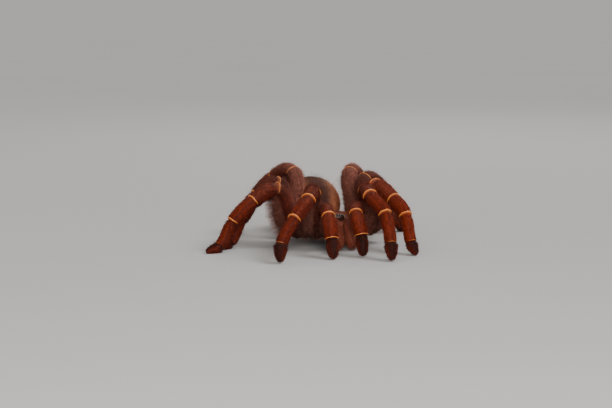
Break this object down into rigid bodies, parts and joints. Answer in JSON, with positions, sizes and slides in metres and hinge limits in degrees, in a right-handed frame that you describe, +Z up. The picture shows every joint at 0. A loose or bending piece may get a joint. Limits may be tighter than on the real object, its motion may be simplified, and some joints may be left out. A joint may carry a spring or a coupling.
{
  "type": "tarantula",
  "caption": "Life-size tarantula standing high on drawn-in bristly legs, with round velvety abdomen, low head shield, stout jaws and pale rings at the leg joints.",
  "frame": {"origin": "on the floor, below the middle of the bounding box", "axes": "+Z up, the animal faces -Y and its left side is +X"},
  "size_m": [0.12, 0.1266, 0.0388],
  "materials": {
    "leg_coat": "short velvety and bristly hair, rust red with pale rings at the joints",
    "shield_coat": "short close hair, golden brown",
    "abdomen_coat": "dense velvet hair, cinnamon brown",
    "jaw_coat": "streaked short hair, red brown",
    "under_coat": "short dark hair",
    "eye_gloss": "glossy black",
    "fang_horn": "polished dark horn"
  },
  "bodies": {
    "root": {"palp_L_femur": "leg_coat", "palp_L_patella": "leg_coat", "palp_L_tibia": "leg_coat", "palp_L_tarsus": "leg_coat", "palp_R_femur": "leg_coat", "palp_R_patella": "leg_coat", "palp_R_tibia": "leg_coat", "palp_R_tarsus": "leg_coat", "leg_L1_femur": "leg_coat", "leg_L1_patella": "leg_coat", "leg_L1_tibia": "leg_coat", "leg_L1_metatarsus": "leg_coat", "leg_L1_tarsus": "leg_coat", "leg_L2_femur": "leg_coat", "leg_L2_patella": "leg_coat", "leg_L2_tibia": "leg_coat", "leg_L2_metatarsus": "leg_coat", "leg_L2_tarsus": "leg_coat", "leg_L3_femur": "leg_coat", "leg_L3_patella": "leg_coat", "leg_L3_tibia": "leg_coat", "leg_L3_metatarsus": "leg_coat", "leg_L3_tarsus": "leg_coat", "leg_L4_femur": "leg_coat", "leg_L4_patella": "leg_coat", "leg_L4_tibia": "leg_coat", "leg_L4_metatarsus": "leg_coat", "leg_L4_tarsus": "leg_coat", "leg_R1_femur": "leg_coat", "leg_R1_patella": "leg_coat", "leg_R1_tibia": "leg_coat", "leg_R1_metatarsus": "leg_coat", "leg_R1_tarsus": "leg_coat", "leg_R2_femur": "leg_coat", "leg_R2_patella": "leg_coat", "leg_R2_tibia": "leg_coat", "leg_R2_metatarsus": "leg_coat", "leg_R2_tarsus": "leg_coat", "leg_R3_femur": "leg_coat", "leg_R3_patella": "leg_coat", "leg_R3_tibia": "leg_coat", "leg_R3_metatarsus": "leg_coat", "leg_R3_tarsus": "leg_coat", "leg_R4_femur": "leg_coat", "leg_R4_patella": "leg_coat", "leg_R4_tibia": "leg_coat", "leg_R4_metatarsus": "leg_coat", "leg_R4_tarsus": "leg_coat", "carapace": "shield_coat", "eye_mound": "eye_gloss", "sternum_and_hips": "under_coat", "abdomen": "abdomen_coat", "fang_L": "fang_horn", "fang_R": "fang_horn", "chelicera_L": "jaw_coat", "chelicera_R": "jaw_coat", "spinneret_L": "abdomen_coat", "spinneret_R": "abdomen_coat"}
  },
  "joints": []
}
